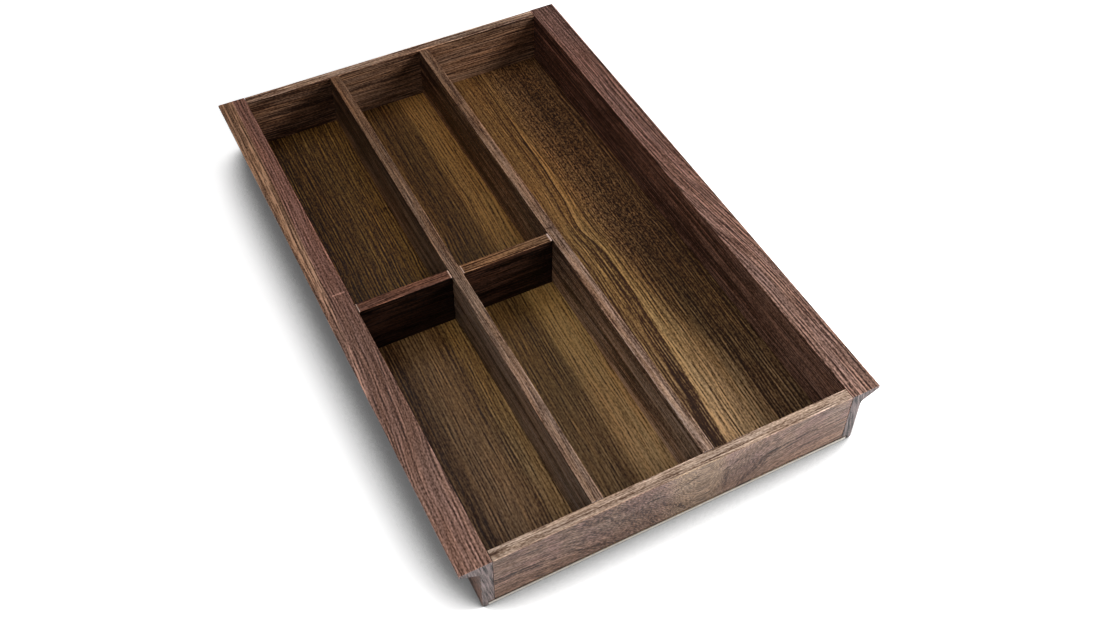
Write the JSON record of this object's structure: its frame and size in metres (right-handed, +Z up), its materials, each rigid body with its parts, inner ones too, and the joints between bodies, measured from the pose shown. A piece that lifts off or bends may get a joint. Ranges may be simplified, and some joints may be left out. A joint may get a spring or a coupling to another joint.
{
  "type": "cutlery drawer insert",
  "caption": "Shallow open walnut tray with a compartmented inside and long side rails whose overhanging flanges can be trimmed to the drawer.",
  "frame": {"origin": "middle of the underside, at the centre of the overall width and length", "axes": "+X towards the right rail beside the full-length compartment, +Y towards the back, +Z up"},
  "size_m": [0.3076, 0.4772, 0.0503],
  "materials": {
    "rail_walnut": "planed and sanded walnut with a reddish grey tone, satin oil finish, grain lengthwise",
    "panel_walnut": "planed walnut with crosswise grain and some figure, satin oil finish",
    "divider_walnut": "planed dark walnut, satin oil finish, grain along the board",
    "veneer_walnut": "straight-grained olive brown walnut veneer with dark streaks on thin plywood, satin",
    "dowel_beech": "plain turned beech, unfinished",
    "pin_steel": "bright drawn wire"
  },
  "bodies": {
    "root": {"back_left_dowel_lower": "dowel_beech", "back_left_dowel_upper": "dowel_beech", "back_panel": "panel_walnut", "back_panel_pin_1": "pin_steel", "back_panel_pin_2": "pin_steel", "back_right_dowel_lower": "dowel_beech", "back_right_dowel_upper": "dowel_beech", "bottom_panel": "veneer_walnut", "cross_left_dowel_lower": "dowel_beech", "cross_left_dowel_upper": "dowel_beech", "cross_middle_dowel_lower": "dowel_beech", "cross_middle_dowel_upper": "dowel_beech", "cross_right_dowel_lower": "dowel_beech", "cross_right_dowel_upper": "dowel_beech", "front_left_dowel_lower": "dowel_beech", "front_left_dowel_upper": "dowel_beech", "front_panel": "panel_walnut", "front_panel_pin_1": "pin_steel", "front_panel_pin_2": "pin_steel", "front_right_dowel_lower": "dowel_beech", "front_right_dowel_upper": "dowel_beech", "left_cross_divider": "divider_walnut", "left_cross_pin_1": "pin_steel", "left_divider_back_dowel_lower": "dowel_beech", "left_divider_back_dowel_upper": "dowel_beech", "left_divider_front_dowel_lower": "dowel_beech", "left_divider_front_dowel_upper": "dowel_beech", "left_divider_pin_1": "pin_steel", "left_divider_pin_2": "pin_steel", "left_divider_pin_3": "pin_steel", "left_long_divider": "divider_walnut", "left_rail": "rail_walnut", "left_rail_pin_1": "pin_steel", "left_rail_pin_2": "pin_steel", "left_rail_pin_3": "pin_steel", "left_rail_pin_4": "pin_steel", "middle_cross_divider": "divider_walnut", "middle_cross_pin_1": "pin_steel", "right_divider_back_dowel_lower": "dowel_beech", "right_divider_back_dowel_upper": "dowel_beech", "right_divider_front_dowel_lower": "dowel_beech", "right_divider_front_dowel_upper": "dowel_beech", "right_divider_pin_1": "pin_steel", "right_divider_pin_2": "pin_steel", "right_divider_pin_3": "pin_steel", "right_long_divider": "divider_walnut", "right_rail": "rail_walnut", "right_rail_pin_1": "pin_steel", "right_rail_pin_2": "pin_steel", "right_rail_pin_3": "pin_steel", "right_rail_pin_4": "pin_steel"}
  },
  "joints": []
}
